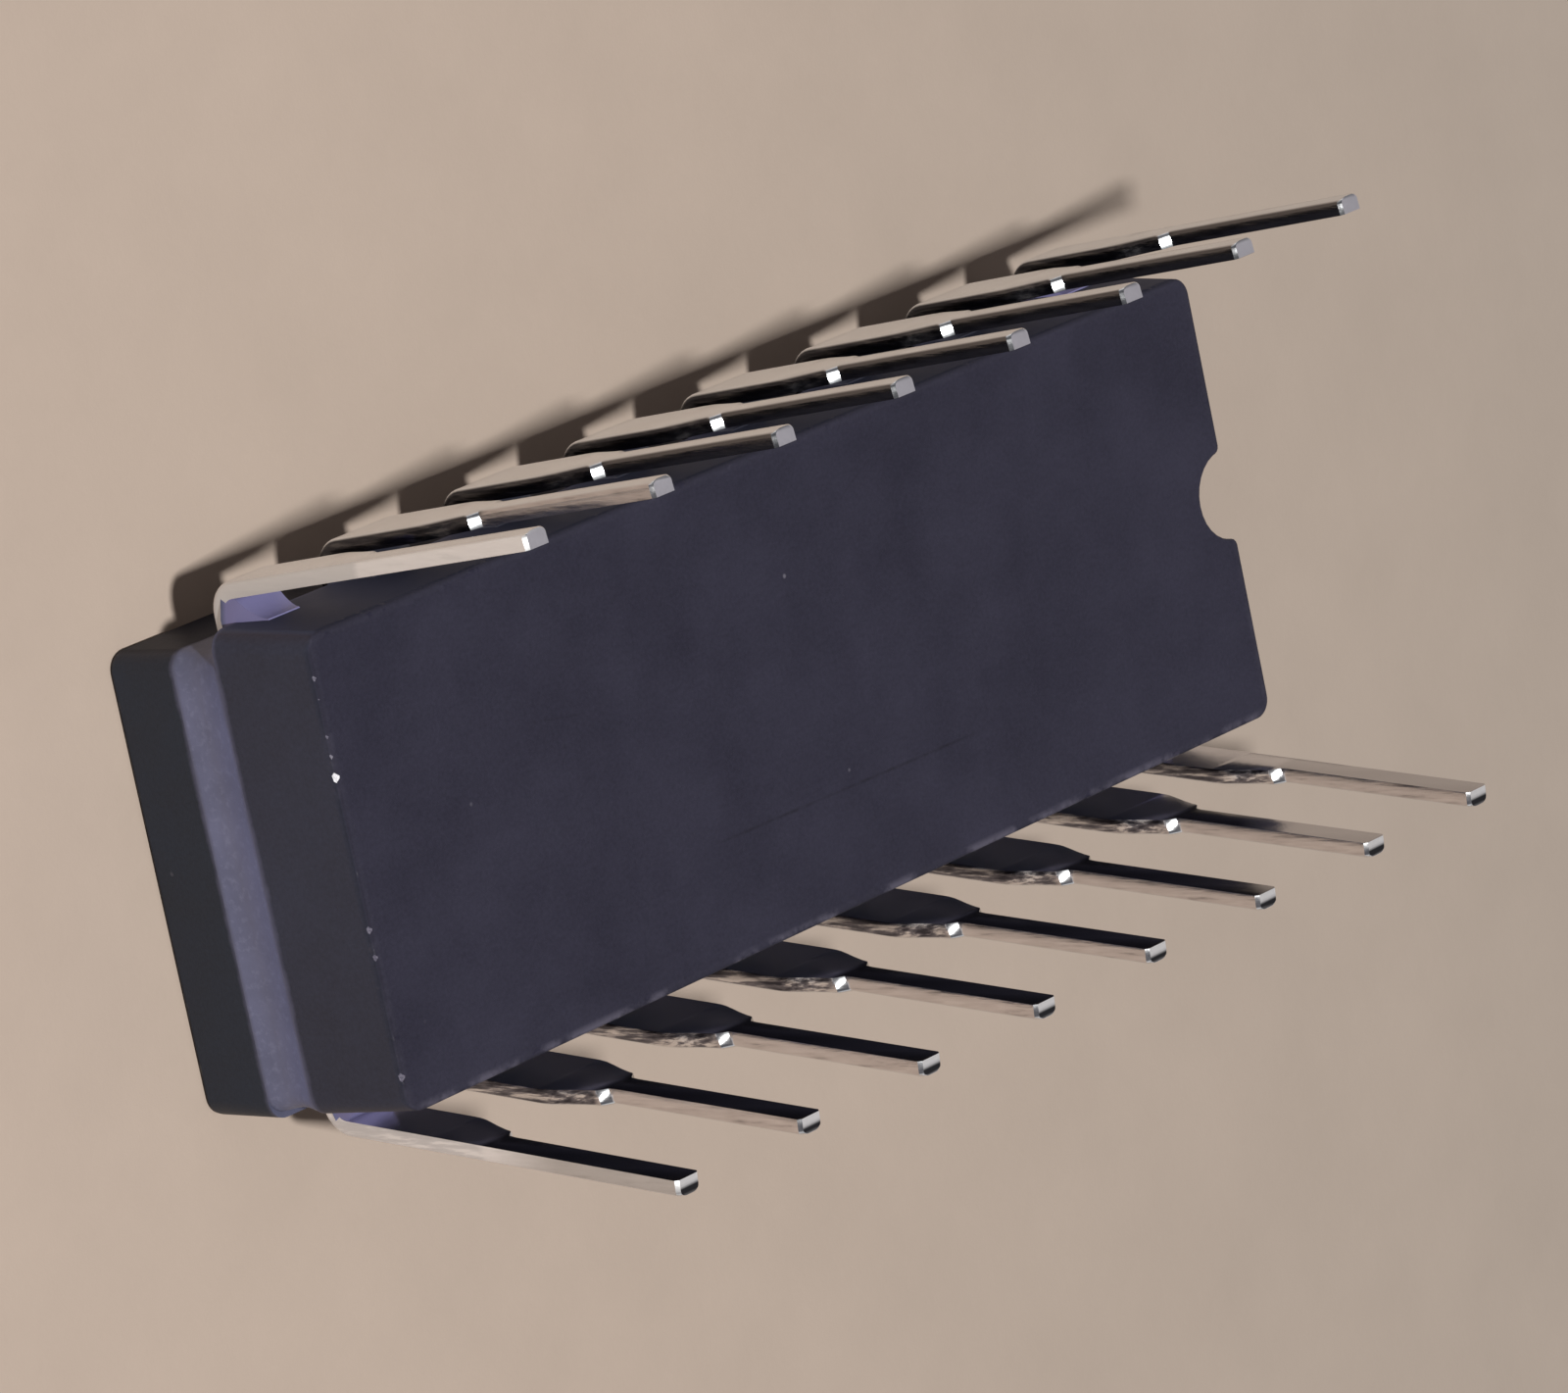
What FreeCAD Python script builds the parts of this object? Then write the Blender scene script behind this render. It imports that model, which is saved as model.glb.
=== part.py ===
import FreeCAD, Part
import math
import os

# Ceramic dual in line memory chip with sixteen pins, lying on its lid with the pins up.
# Millimetres. The origin is the centre of the lid's outer face, +Z runs towards the pin tips,
# +X towards the end with the index notch. Pin 1 is beside the notch in the -Y row; the
# numbers run down that row towards -X and come back along the +Y row.

V = FreeCAD.Vector

# Pin pattern: standard pitch, two rows of eight
PITCH = 2.54
PINS_PER_ROW = 8

# Body. Length and width are taken at the seal, where both pressed halves are widest; the
# length runs past the middle of each end pin.
END_MARGIN = 0.81
BODY_LENGTH = (PINS_PER_ROW - 1) * PITCH + 2 * END_MARGIN
BODY_WIDTH = 7.08
CORNER_RADIUS = 0.30
LID_THICKNESS = 1.34
SEAL_THICKNESS = 0.89
BASE_THICKNESS = 1.84
DRAFT_ANGLE = 2.3
BASE_EDGE_ROUND = 0.05
LID_EDGE_ROUND = 0.18
SEAL_HOLLOW = 0.07

# The lid came out of its press a little narrower and straighter than the base, and was
# sealed on out of line with it, towards the -Y row
LID_NARROWER = 0.20
LID_WIDTH = BODY_WIDTH - LID_NARROWER
LID_DRAFT_ANGLE = 0.5
LID_SHIFT = 0.19

# Index notch in the +X end
NOTCH_RADIUS = 0.70
NOTCH_DEPTH = 0.66
NOTCH_FLARE = 0.08

# Small breaks along the base's edge over the plain end: place across, depth; and the way
# that the broken faces look
EDGE_FLAKES = [(2.86, 0.025), (1.44, 0.045), (-0.76, 0.035), (-1.16, 0.03), (-2.90, 0.04)]
FLAKE_FACING = V(-0.58, 0.15, 0.80)

# Die cavity in the base, and the wider recess in the lid that clears the bond wires. The
# walls beside the cavity are what seals, so its width follows from them.
CAVITY_LENGTH = 6.60
SEAL_LAND = 1.54
CAVITY_WIDTH = BODY_WIDTH - 2 * SEAL_LAND
CAVITY_DEPTH = 0.60
CAVITY_CORNER = 0.30
BOND_SHELF = 0.78
LID_RECESS_DEPTH = 0.50

# Silicon die and the layer that holds it, with the room left round the die in the cavity
DIE_ROOM_ALONG = 1.70
DIE_ROOM_ACROSS = 0.80
DIE_LENGTH = CAVITY_LENGTH - 2 * DIE_ROOM_ALONG
DIE_WIDTH = CAVITY_WIDTH - 2 * DIE_ROOM_ACROSS
DIE_THICKNESS = 0.38
ATTACH_THICKNESS = 0.05
ATTACH_MARGIN = 0.20

# Pins: flat strip, wide at the root and narrow at the leg. The sixteen were one stamped
# frame, which sits a hair off the middle of the body. The shoulder's heights count from the
# base's face, and it ends in a small steep step; the +Y row was bent up a little lower.
LEAD_THICKNESS = 0.25
GLASS_UNDER_LEAD = 0.405
FRAME_SHIFT = 0.05
LEAD_WIDE = 1.30
LEAD_NARROW = 0.46
ROOT_IN_GLASS = 0.55
BEND_CLEARANCE = 0.03
BEND_INNER_RADIUS = 0.25
LEG_SPLAY = 6.0
SHOULDER_START = -0.05
SHOULDER_END = 0.90
SHOULDER_ROUND = 0.45
SHOULDER_STEP = 0.10
SHOULDER_STEP_RISE = 0.08
SHOULDER_DROP_FAR = 0.14
LEG_REACH_NEAR = 4.40
LEG_REACH_FAR = 4.12
TIP_CHAMFER = 0.05

# Glass drawn up between the body's side and each pin, and out past the pin's edges
FILLET_RISE = 0.50
FILLET_REACH = 0.28
FILLET_SIDE = 0.08
FILLET_END_SIDE = 0.10

# Flat fingers that run from the pin roots to the bond shelf. All but the last pin of a row
# end on the cavity's long edge, and the last one turns in and ends on its short edge.
FINGER_WIDTH = 0.50
FINGER_TIP_WIDTH = 0.30
FINGER_TIP_GAP = 0.12
FINGER_CORNER_GAP = 0.28
FINGER_BEND = 0.43
FINGER_FAN = 0.27
END_FINGER_IN = 1.29
END_FINGER_ALONG = 0.90
END_FINGER_PLACE = 0.96

# Aluminium bond wires with a flattened foot at each end
WIRE_RADIUS = 0.016
WIRE_RISE = 0.20
FOOT_LENGTH = 0.11
FOOT_WIDTH = 0.06
FOOT_THICKNESS = 0.036
PAD_INSET = 0.15

# Heights and places that follow from the sizes above
SEAL_BOTTOM = LID_THICKNESS
SEAL_TOP = LID_THICKNESS + SEAL_THICKNESS
BODY_HEIGHT = SEAL_TOP + BASE_THICKNESS
BOND_HEIGHT = SEAL_BOTTOM + GLASS_UNDER_LEAD
LEAD_HEIGHT = BOND_HEIGHT + LEAD_THICKNESS / 2
CAVITY_FLOOR = SEAL_TOP + CAVITY_DEPTH
DIE_FACE = CAVITY_FLOOR - ATTACH_THICKNESS - DIE_THICKNESS
BEND_RADIUS = BEND_INNER_RADIUS + LEAD_THICKNESS / 2
BEND_START = BODY_WIDTH / 2 + BEND_CLEARANCE
BEND_TURN = 90.0 - LEG_SPLAY


def closed_face(points):
    """Flat face inside a closed run of straight edges."""
    return Part.Face(Part.makePolygon(list(points) + [points[0]]))


def rounded_face(points, radii):
    """Flat face whose corners are rounded, one radius for each corner."""
    edges = []
    starts = []
    count = len(points)
    for i in range(count):
        corner = points[i]
        before = points[i - 1] - corner
        after = points[(i + 1) % count] - corner
        radius = radii[i]
        if radius <= 0:
            starts.append((corner, corner, None))
            continue
        half = before.getAngle(after) / 2
        run = radius / math.tan(half)
        run = min(run, 0.45 * before.Length, 0.45 * after.Length)
        radius = run * math.tan(half)
        before.normalize()
        after.normalize()
        middle = before + after
        middle.normalize()
        centre = corner + middle * (radius / math.sin(half))
        starts.append((corner + before * run, corner + after * run, centre - middle * radius))
    for i in range(count):
        first, last, mid = starts[i]
        if mid is not None:
            edges.append(Part.Arc(first, mid, last).toShape())
        following = starts[(i + 1) % count][0]
        if last.distanceToPoint(following) > 1e-6:
            edges.append(Part.LineSegment(last, following).toShape())
    return Part.Face(Part.Wire(edges))


def moulded_block(length, width, radius, side):
    """Block with rounded corners whose side follows one profile all the way round.

    side is a list of edges in (outward, 0, height), from the bottom to the top, where
    outward is counted from the axis of the corner rounding."""
    bottom = side[0].valueAt(side[0].FirstParameter)
    top = side[-1].valueAt(side[-1].LastParameter)
    floor_in = Part.LineSegment(V(0, 0, bottom.z), bottom).toShape()
    roof = Part.LineSegment(top, V(0, 0, top.z)).toShape()
    back = Part.LineSegment(V(0, 0, top.z), V(0, 0, bottom.z)).toShape()
    profile = Part.Face(Part.Wire([floor_in] + side + [roof, back]))
    across = length / 2 - radius
    deep = width / 2 - radius
    core = Part.makeBox(2 * across, 2 * deep, top.z - bottom.z, V(-across, -deep, bottom.z))
    cells = []
    for turn in range(4):
        run = 2 * deep if turn % 2 == 0 else 2 * across
        out = across if turn % 2 == 0 else deep
        bar = profile.extrude(V(0, run, 0))
        bar.translate(V(out, -run / 2, 0))
        bar.rotate(V(0, 0, 0), V(0, 0, 1), 90 * turn)
        cells.append(bar)
        corner = profile.revolve(V(0, 0, 0), V(0, 0, 1), 90)
        corner.rotate(V(0, 0, 0), V(0, 0, 1), 90 * turn)
        sign_x = 1 if turn in (0, 3) else -1
        sign_y = 1 if turn in (0, 1) else -1
        corner.translate(V(sign_x * across, sign_y * deep, 0))
        cells.append(corner)
    return core.fuse(cells).removeSplitter()


def drafted_side(seal_height, face_height, edge_round, draft_angle):
    """Side of a pressed half: drafted in from the seal, rounded into the outer face."""
    rise = abs(face_height - seal_height)
    way = 1 if face_height > seal_height else -1
    lean = math.tan(math.radians(draft_angle))
    start = V(CORNER_RADIUS, 0, seal_height)
    stop = V(CORNER_RADIUS - lean * (rise - edge_round), 0, face_height - way * edge_round)
    inner = V(stop.x - edge_round, 0, face_height)
    swing = edge_round * (1 - math.sqrt(0.5))
    middle = V(stop.x - swing, 0, face_height - way * swing)
    straight = Part.LineSegment(start, stop).toShape()
    arc = Part.Arc(stop, middle, inner).toShape()
    if way > 0:
        return [straight, arc]
    return [Part.Arc(inner, middle, stop).toShape(), Part.LineSegment(stop, start).toShape()]


def notch_cutter(seal_height, face_height):
    """Upright cutter for the index notch, flared a little where it meets the outer face."""
    way = 1 if face_height > seal_height else -1
    centre_x = BODY_LENGTH / 2 - NOTCH_DEPTH + NOTCH_RADIUS
    wide = NOTCH_RADIUS + NOTCH_FLARE
    past = face_height + way
    points = [V(0, 0, seal_height - way), V(NOTCH_RADIUS, 0, seal_height - way),
              V(NOTCH_RADIUS, 0, face_height - way * NOTCH_FLARE),
              V(wide, 0, face_height), V(wide, 0, past), V(0, 0, past)]
    cutter = closed_face(points).revolve(V(0, 0, 0), V(0, 0, 1), 360)
    cutter.translate(V(centre_x, 0, 0))
    return cutter


def pocket(length, width, low, high):
    """Plain pocket with rounded upright corners, as a solid to take away."""
    face = rounded_face([V(-length / 2, -width / 2, low), V(length / 2, -width / 2, low),
                         V(length / 2, width / 2, low), V(-length / 2, width / 2, low)],
                        [CAVITY_CORNER] * 4)
    return face.extrude(V(0, 0, high - low))


def edge_flake(edge_x, place, depth):
    """Cutter for a small flake broken off the edge between the outer face and the -X end:
    a tilted block, cornerwise to the edge, whose lower face leaves the broken face."""
    side = 2.4 * depth
    block = Part.makeBox(side, side, side, V(-side / 2, -side / 2, 0))
    block.rotate(V(0, 0, 0), V(0, 0, 1), 45)
    facing = FLAKE_FACING / FLAKE_FACING.Length
    block.Placement = FreeCAD.Placement(V(edge_x, place, BODY_HEIGHT) - facing * depth,
                                        FreeCAD.Rotation(V(0, 0, 1), facing)) * block.Placement
    return block


def ceramic_base():
    """Thick pressed half with the die cavity; its outer face looks up between the pins."""
    body = moulded_block(BODY_LENGTH, BODY_WIDTH, CORNER_RADIUS,
                         drafted_side(SEAL_TOP, BODY_HEIGHT, BASE_EDGE_ROUND, DRAFT_ANGLE))
    body = body.cut(pocket(CAVITY_LENGTH, CAVITY_WIDTH, SEAL_TOP - 0.5, CAVITY_FLOOR))
    body = body.cut(notch_cutter(SEAL_TOP, BODY_HEIGHT))
    edge_x = -BODY_LENGTH / 2 + math.tan(math.radians(DRAFT_ANGLE)) * BASE_THICKNESS
    for place, depth in EDGE_FLAKES:
        body = body.cut(edge_flake(edge_x, place, depth))
    return body


def ceramic_lid():
    """Thinner pressed half under the seal, with a shallow recess over the bond wires."""
    body = moulded_block(BODY_LENGTH, LID_WIDTH, CORNER_RADIUS,
                         drafted_side(SEAL_BOTTOM, 0.0, LID_EDGE_ROUND, LID_DRAFT_ANGLE))
    window_length = CAVITY_LENGTH + 2 * BOND_SHELF
    window_width = CAVITY_WIDTH + 2 * BOND_SHELF
    body = body.cut(pocket(window_length, window_width, SEAL_BOTTOM - LID_RECESS_DEPTH,
                           SEAL_BOTTOM + 0.5))
    body = body.cut(notch_cutter(SEAL_BOTTOM, 0.0))
    body.translate(V(0, -LID_SHIFT, 0))
    return body


def glass_seal(pins, base):
    """Sealing glass where the two halves overlap, drawn in at the edge, cast round the pins
    and drawn up between them and the base."""
    middle = (SEAL_BOTTOM + SEAL_TOP) / 2
    side = [Part.Arc(V(CORNER_RADIUS, 0, SEAL_BOTTOM), V(CORNER_RADIUS - SEAL_HOLLOW, 0, middle),
                     V(CORNER_RADIUS, 0, SEAL_TOP)).toShape()]
    overlap = (BODY_WIDTH + LID_WIDTH) / 2 - LID_SHIFT
    layer = moulded_block(BODY_LENGTH, overlap, CORNER_RADIUS, side)
    layer.translate(V(0, (overlap - BODY_WIDTH) / 2, 0))
    layer = layer.cut(pocket(CAVITY_LENGTH, CAVITY_WIDTH, SEAL_BOTTOM - 0.5, SEAL_TOP + 0.5))
    window_length = CAVITY_LENGTH + 2 * BOND_SHELF
    window_width = CAVITY_WIDTH + 2 * BOND_SHELF
    layer = layer.cut(pocket(window_length, window_width, SEAL_BOTTOM - 0.5, BOND_HEIGHT))
    centre_x = BODY_LENGTH / 2 - NOTCH_DEPTH + NOTCH_RADIUS
    for shift in (0, -LID_SHIFT):
        layer = layer.cut(Part.makeCylinder(NOTCH_RADIUS, SEAL_THICKNESS + 2,
                                            V(centre_x, shift, SEAL_BOTTOM - 1)))
    fillets = [glass_fillet(slot, row) for row in (-1, 1) for slot in range(PINS_PER_ROW)]
    return layer.fuse(fillets).cut(pins + [base])


def glass_fillet(slot, row):
    """Glass drawn up in the corner between the body's side and one pin, thinning upwards."""
    lead_low, lead_high = lead_edges(slot)
    low = lead_low + (FILLET_END_SIDE if slot == 0 else FILLET_SIDE)
    high = lead_high + (FILLET_END_SIDE if slot == PINS_PER_ROW - 1 else FILLET_SIDE)
    wall = BODY_WIDTH / 2
    foot = BOND_HEIGHT + LEAD_THICKNESS
    inner = wall - ROOT_IN_GLASS / 2
    crest = V(0, wall - FRAME_SHIFT, SEAL_TOP + FILLET_RISE)
    outer = V(0, wall + FILLET_REACH, SEAL_TOP)
    dip = V(0, wall + FILLET_REACH * 0.3, SEAL_TOP + FILLET_RISE * 0.3)
    side = [Part.makePolygon([outer, V(0, outer.y, foot), V(0, inner, foot),
                              V(0, inner, crest.z), crest]),
            Part.Arc(crest, dip, outer).toShape()]
    fillet = Part.Face(Part.Wire(side[0].Edges + [side[1]])).extrude(V(low + high, 0, 0))
    fillet.translate(V(-low, 0, 0))
    trim = closed_face([V(-low, 0, foot), V(high, 0, foot),
                        V(high - FILLET_SIDE * 2, 0, crest.z),
                        V(FILLET_SIDE * 2 - low, 0, crest.z)]).extrude(V(0, BODY_WIDTH, 0))
    plan = closed_face([V(-low, inner, foot), V(high, inner, foot), V(high, wall, foot),
                        V(lead_high, wall + FILLET_REACH, foot),
                        V(-lead_low, wall + FILLET_REACH, foot), V(-low, wall, foot)])
    fillet = fillet.common(trim).common(plan.extrude(V(0, 0, crest.z - foot)))
    fillet.translate(V(row_place(slot), 0, 0))
    if row < 0:
        fillet = fillet.mirror(V(0, 0, 0), V(0, 1, 0))
    fillet.translate(V(0, FRAME_SHIFT, 0))
    return fillet


def row_place(slot):
    """Distance of a pin from the middle of the body along its row; slot 0 is at -X."""
    return (slot - (PINS_PER_ROW - 1) / 2) * PITCH


def finger_path(slot):
    """Centre line of the flat finger, from the root in the glass to the bond shelf."""
    x = row_place(slot)
    side = 1 if x > 0 else -1
    rank = round(abs(x) / PITCH - 0.5)
    per_half = PINS_PER_ROW // 2
    root = V(x, BODY_WIDTH / 2 - ROOT_IN_GLASS, 0)
    cavity_x = CAVITY_LENGTH / 2
    cavity_y = CAVITY_WIDTH / 2
    if rank == per_half - 1:
        turn = V(x - side * END_FINGER_ALONG, root.y - END_FINGER_IN, 0)
        near = V(side * (cavity_x + BOND_SHELF), END_FINGER_PLACE, 0)
        tip = V(side * (cavity_x + FINGER_TIP_GAP), END_FINGER_PLACE, 0)
        return [root, turn, near, tip]
    tip_pitch = (cavity_x - FINGER_CORNER_GAP) / (per_half - 1.5)
    tip_x = side * tip_pitch * (rank + 0.5)
    shelf = V(tip_x + side * FINGER_FAN * rank, cavity_y + FINGER_BEND, 0)
    tip = V(tip_x, cavity_y + FINGER_TIP_GAP, 0)
    return [root, shelf, tip]


def strip_outline(path, widths):
    """Outline of a flat strip that follows a centre line and changes width on the way."""
    left = []
    right = []
    last = len(path) - 1
    for i, point in enumerate(path):
        normals = []
        for a, b in ((i - 1, i), (i, i + 1)):
            if a >= 0 and b <= last:
                run = path[b] - path[a]
                run.normalize()
                normals.append(V(-run.y, run.x, 0))
        total = normals[0] + normals[-1]
        total = total * (2 / (total.Length ** 2))
        left.append(point + total * (widths[i] / 2))
        right.append(point - total * (widths[i] / 2))
    return left + right[::-1]


def lead_finger(slot):
    """Flat finger inside the glass, as a solid of the strip's thickness."""
    path = finger_path(slot)
    steps = len(path) - 1
    widths = [FINGER_WIDTH + (FINGER_TIP_WIDTH - FINGER_WIDTH) * i / steps
              for i in range(steps + 1)]
    root = path[0]
    path = [V(root.x, root.y + 0.10, 0)] + path
    widths = [FINGER_WIDTH] + widths
    face = closed_face([V(p.x, p.y, BOND_HEIGHT) for p in strip_outline(path, widths)])
    return face.extrude(V(0, 0, LEAD_THICKNESS))


def lead_edges(slot):
    """Distances from the pin's centre to the -X and +X edges of its wide part."""
    wide = LEAD_WIDE / 2
    plain = LEAD_NARROW / 2
    low = plain if slot == 0 else wide
    high = plain if slot == PINS_PER_ROW - 1 else wide
    return low, high


def lead_leg(slot, low, high, reach, drop):
    """Leg from the end of the bend to the tip, its shoulder lowered by drop."""
    slope = math.cos(math.radians(LEG_SPLAY))
    turn = math.radians(BEND_TURN)
    bend_top = LEAD_HEIGHT + BEND_RADIUS * (1 - math.cos(turn))
    wide_end = (BODY_HEIGHT + SHOULDER_START - drop - bend_top) / slope
    narrow_from = (BODY_HEIGHT + SHOULDER_END - drop - bend_top) / slope
    step_from = narrow_from - SHOULDER_STEP_RISE
    tip = (BODY_HEIGHT + reach - bend_top) / slope
    plain = LEAD_NARROW / 2
    points = [(-low, 0, 0), (high, 0, 0)]
    if high > plain:
        points += [(high, wide_end, SHOULDER_ROUND), (plain + SHOULDER_STEP, step_from, 0),
                   (plain, narrow_from, 0)]
    points += [(plain, tip - TIP_CHAMFER, 0), (plain - TIP_CHAMFER, tip, 0),
               (TIP_CHAMFER - plain, tip, 0), (-plain, tip - TIP_CHAMFER, 0)]
    if low > plain:
        points += [(-plain, narrow_from, 0), (-plain - SHOULDER_STEP, step_from, 0),
                   (-low, wide_end, SHOULDER_ROUND)]
    corners = [V(x, -LEAD_THICKNESS / 2, z) for x, z, r in points]
    leg = rounded_face(corners, [r for x, z, r in points]).extrude(V(0, LEAD_THICKNESS, 0))
    leg.rotate(V(0, 0, 0), V(1, 0, 0), -LEG_SPLAY)
    leg.translate(V(0, BEND_START + BEND_RADIUS * math.sin(turn), bend_top))
    return leg


def lead_pin(slot, row):
    """One formed pin: finger and root in the glass, bend outside it, shoulders and leg.

    row is -1 for the -Y row and +1 for the +Y row."""
    x = row_place(slot)
    low, high = lead_edges(slot)
    inner = BODY_WIDTH / 2 - ROOT_IN_GLASS
    root = Part.makeBox(low + high, BEND_START - inner, LEAD_THICKNESS,
                        V(x - low, inner, BOND_HEIGHT))
    section = closed_face([V(x - low, BEND_START, BOND_HEIGHT),
                           V(x + high, BEND_START, BOND_HEIGHT),
                           V(x + high, BEND_START, BOND_HEIGHT + LEAD_THICKNESS),
                           V(x - low, BEND_START, BOND_HEIGHT + LEAD_THICKNESS)])
    bend = section.revolve(V(x, BEND_START, LEAD_HEIGHT + BEND_RADIUS), V(1, 0, 0), BEND_TURN)
    if row < 0:
        leg = lead_leg(slot, low, high, LEG_REACH_NEAR, 0)
    else:
        leg = lead_leg(slot, low, high, LEG_REACH_FAR, SHOULDER_DROP_FAR)
    leg.translate(V(x, 0, 0))
    pin = root.fuse([lead_finger(slot), bend, leg]).removeSplitter()
    if row < 0:
        pin = pin.mirror(V(0, 0, 0), V(0, 1, 0))
    pin.translate(V(0, FRAME_SHIFT, 0))
    return pin


def pin_number(slot, row):
    """Pin number of a place in a row."""
    return PINS_PER_ROW - slot if row < 0 else PINS_PER_ROW + 1 + slot


def die():
    """Silicon chip in the cavity, its circuit face towards the lid."""
    return Part.makeBox(DIE_LENGTH, DIE_WIDTH, DIE_THICKNESS,
                        V(-DIE_LENGTH / 2, -DIE_WIDTH / 2, DIE_FACE))


def die_attach():
    """Thin layer that holds the silicon chip to the cavity floor."""
    length = DIE_LENGTH + 2 * ATTACH_MARGIN
    width = DIE_WIDTH + 2 * ATTACH_MARGIN
    low = CAVITY_FLOOR - ATTACH_THICKNESS
    face = rounded_face([V(-length / 2, -width / 2, low), V(length / 2, -width / 2, low),
                         V(length / 2, width / 2, low), V(-length / 2, width / 2, low)],
                        [ATTACH_MARGIN] * 4)
    return face.extrude(V(0, 0, ATTACH_THICKNESS))


def wire_foot(place, toward, face_height):
    """Flattened end of a bond wire, standing on a face that looks towards the lid."""
    foot = Part.makeBox(FOOT_LENGTH, FOOT_WIDTH, FOOT_THICKNESS,
                        V(-FOOT_LENGTH / 2, -FOOT_WIDTH / 2, -FOOT_THICKNESS))
    foot.rotate(V(0, 0, 0), V(0, 0, 1), math.degrees(math.atan2(toward.y, toward.x)))
    foot.translate(V(place.x, place.y, face_height))
    return foot


def bond_wire(slot, row):
    """Aluminium wire looped from a finger's tip to a pad at the chip's edge."""
    path = finger_path(slot)
    run = path[-2] - path[-1]
    run.normalize()
    start = path[-1] + run * (FOOT_LENGTH * 1.5)
    pad_x = DIE_LENGTH / 2 - PAD_INSET
    pad_y = DIE_WIDTH / 2 - PAD_INSET
    if abs(start.x) > CAVITY_LENGTH / 2:
        pad = V(math.copysign(pad_x, start.x), pad_y * 0.35, 0)
    else:
        pad = V(start.x * pad_x / (CAVITY_LENGTH / 2), pad_y, 0)
    toward = pad - start
    lift = WIRE_RADIUS + (FOOT_THICKNESS - WIRE_RADIUS) / 2
    heights = [(0.0, BOND_HEIGHT - lift), (0.12, BOND_HEIGHT - WIRE_RISE * 0.75),
               (0.34, BOND_HEIGHT - WIRE_RISE), (0.72, (BOND_HEIGHT + DIE_FACE) / 2),
               (1.0, DIE_FACE - lift)]
    points = [V(start.x + toward.x * f, start.y + toward.y * f, z) for f, z in heights]
    ahead = points[1] - points[0]
    ahead.normalize()
    beside = ahead.cross(V(0, 0, 1))
    beside.normalize()
    above = beside.cross(ahead)
    ring = [points[0] + beside * (WIRE_RADIUS * math.cos(math.radians(60 * i)))
            + above * (WIRE_RADIUS * math.sin(math.radians(60 * i))) for i in range(7)]
    spine = Part.makePolygon(points)
    loop = spine.makePipeShell([Part.makePolygon(ring)], True, False, 1)
    feet = [wire_foot(start, toward, BOND_HEIGHT), wire_foot(pad, toward, DIE_FACE)]
    wire = loop.fuse(feet)
    if row < 0:
        wire = wire.mirror(V(0, 0, 0), V(0, 1, 0))
    wire.translate(V(0, FRAME_SHIFT, 0))
    return wire


def save(shape, name):
    """Write one piece as its own file."""
    solid = shape if shape.ShapeType == "Solid" else shape.Solids[0]
    solid.exportStep("parts/" + name + ".step")


def build():
    os.makedirs("parts", exist_ok=True)
    pins = []
    for row in (-1, 1):
        for slot in range(PINS_PER_ROW):
            pin = lead_pin(slot, row)
            pins.append(pin)
            number = pin_number(slot, row)
            save(pin, "pin_%02d" % number)
            save(bond_wire(slot, row), "bond_wire_%02d" % number)
    base = ceramic_base()
    save(base, "ceramic_base")
    save(ceramic_lid(), "ceramic_lid")
    save(glass_seal(pins, base), "glass_seal")
    save(die(), "die")
    save(die_attach(), "die_attach")


build()
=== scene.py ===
import math
import random

import bmesh
import bpy
from mathutils import Matrix, Quaternion, Vector, noise


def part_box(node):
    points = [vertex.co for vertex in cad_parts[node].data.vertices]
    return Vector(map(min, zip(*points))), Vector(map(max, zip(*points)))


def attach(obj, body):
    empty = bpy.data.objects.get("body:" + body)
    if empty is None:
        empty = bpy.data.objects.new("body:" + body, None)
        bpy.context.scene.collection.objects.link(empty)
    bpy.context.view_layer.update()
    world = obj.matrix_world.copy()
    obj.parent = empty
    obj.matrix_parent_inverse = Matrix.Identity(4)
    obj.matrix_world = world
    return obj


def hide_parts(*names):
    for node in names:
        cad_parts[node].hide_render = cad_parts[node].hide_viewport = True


# Ceramic dual in line memory chip, dropped on a sheet of paper with its pins up. The packed
# part gives every place; lengths here are metres, written as millimetres times MM.
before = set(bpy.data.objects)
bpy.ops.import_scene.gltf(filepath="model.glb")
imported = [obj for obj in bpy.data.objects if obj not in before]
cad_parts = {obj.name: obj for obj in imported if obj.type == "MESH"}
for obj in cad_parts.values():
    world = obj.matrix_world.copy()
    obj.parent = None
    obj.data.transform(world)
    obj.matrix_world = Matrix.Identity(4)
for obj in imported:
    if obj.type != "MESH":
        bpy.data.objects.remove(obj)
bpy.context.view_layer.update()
MM = 0.001


# Camera. A long lens about thirteen centimetres away looks down on the base's face and the
# plain end, turned a quarter so that the chip lies across the picture.
camera_aim = Vector((-0.7105, -0.0856, 4.07)) * MM
camera_distance = 132.725 * MM
camera_azimuth = math.radians(-106.725)
camera_elevation = math.radians(43.332)
camera_turn = math.radians(89.867)

camera_back = Vector((math.sin(camera_azimuth) * math.cos(camera_elevation),
                      -math.cos(camera_azimuth) * math.cos(camera_elevation),
                      math.sin(camera_elevation)))
camera = bpy.data.objects.new("camera", bpy.data.cameras.new("camera"))
bpy.context.collection.objects.link(camera)
camera.location = camera_aim + camera_back * camera_distance
camera.rotation_mode = "QUATERNION"
camera.rotation_quaternion = (camera_back.to_track_quat("Z", "Y")
                              @ Quaternion((0, 0, 1), camera_turn))
camera.data.sensor_width = 36
camera.data.lens = 210.92
camera.data.clip_start = 5 * MM
camera.data.clip_end = 5
bpy.context.scene.camera = camera


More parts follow.
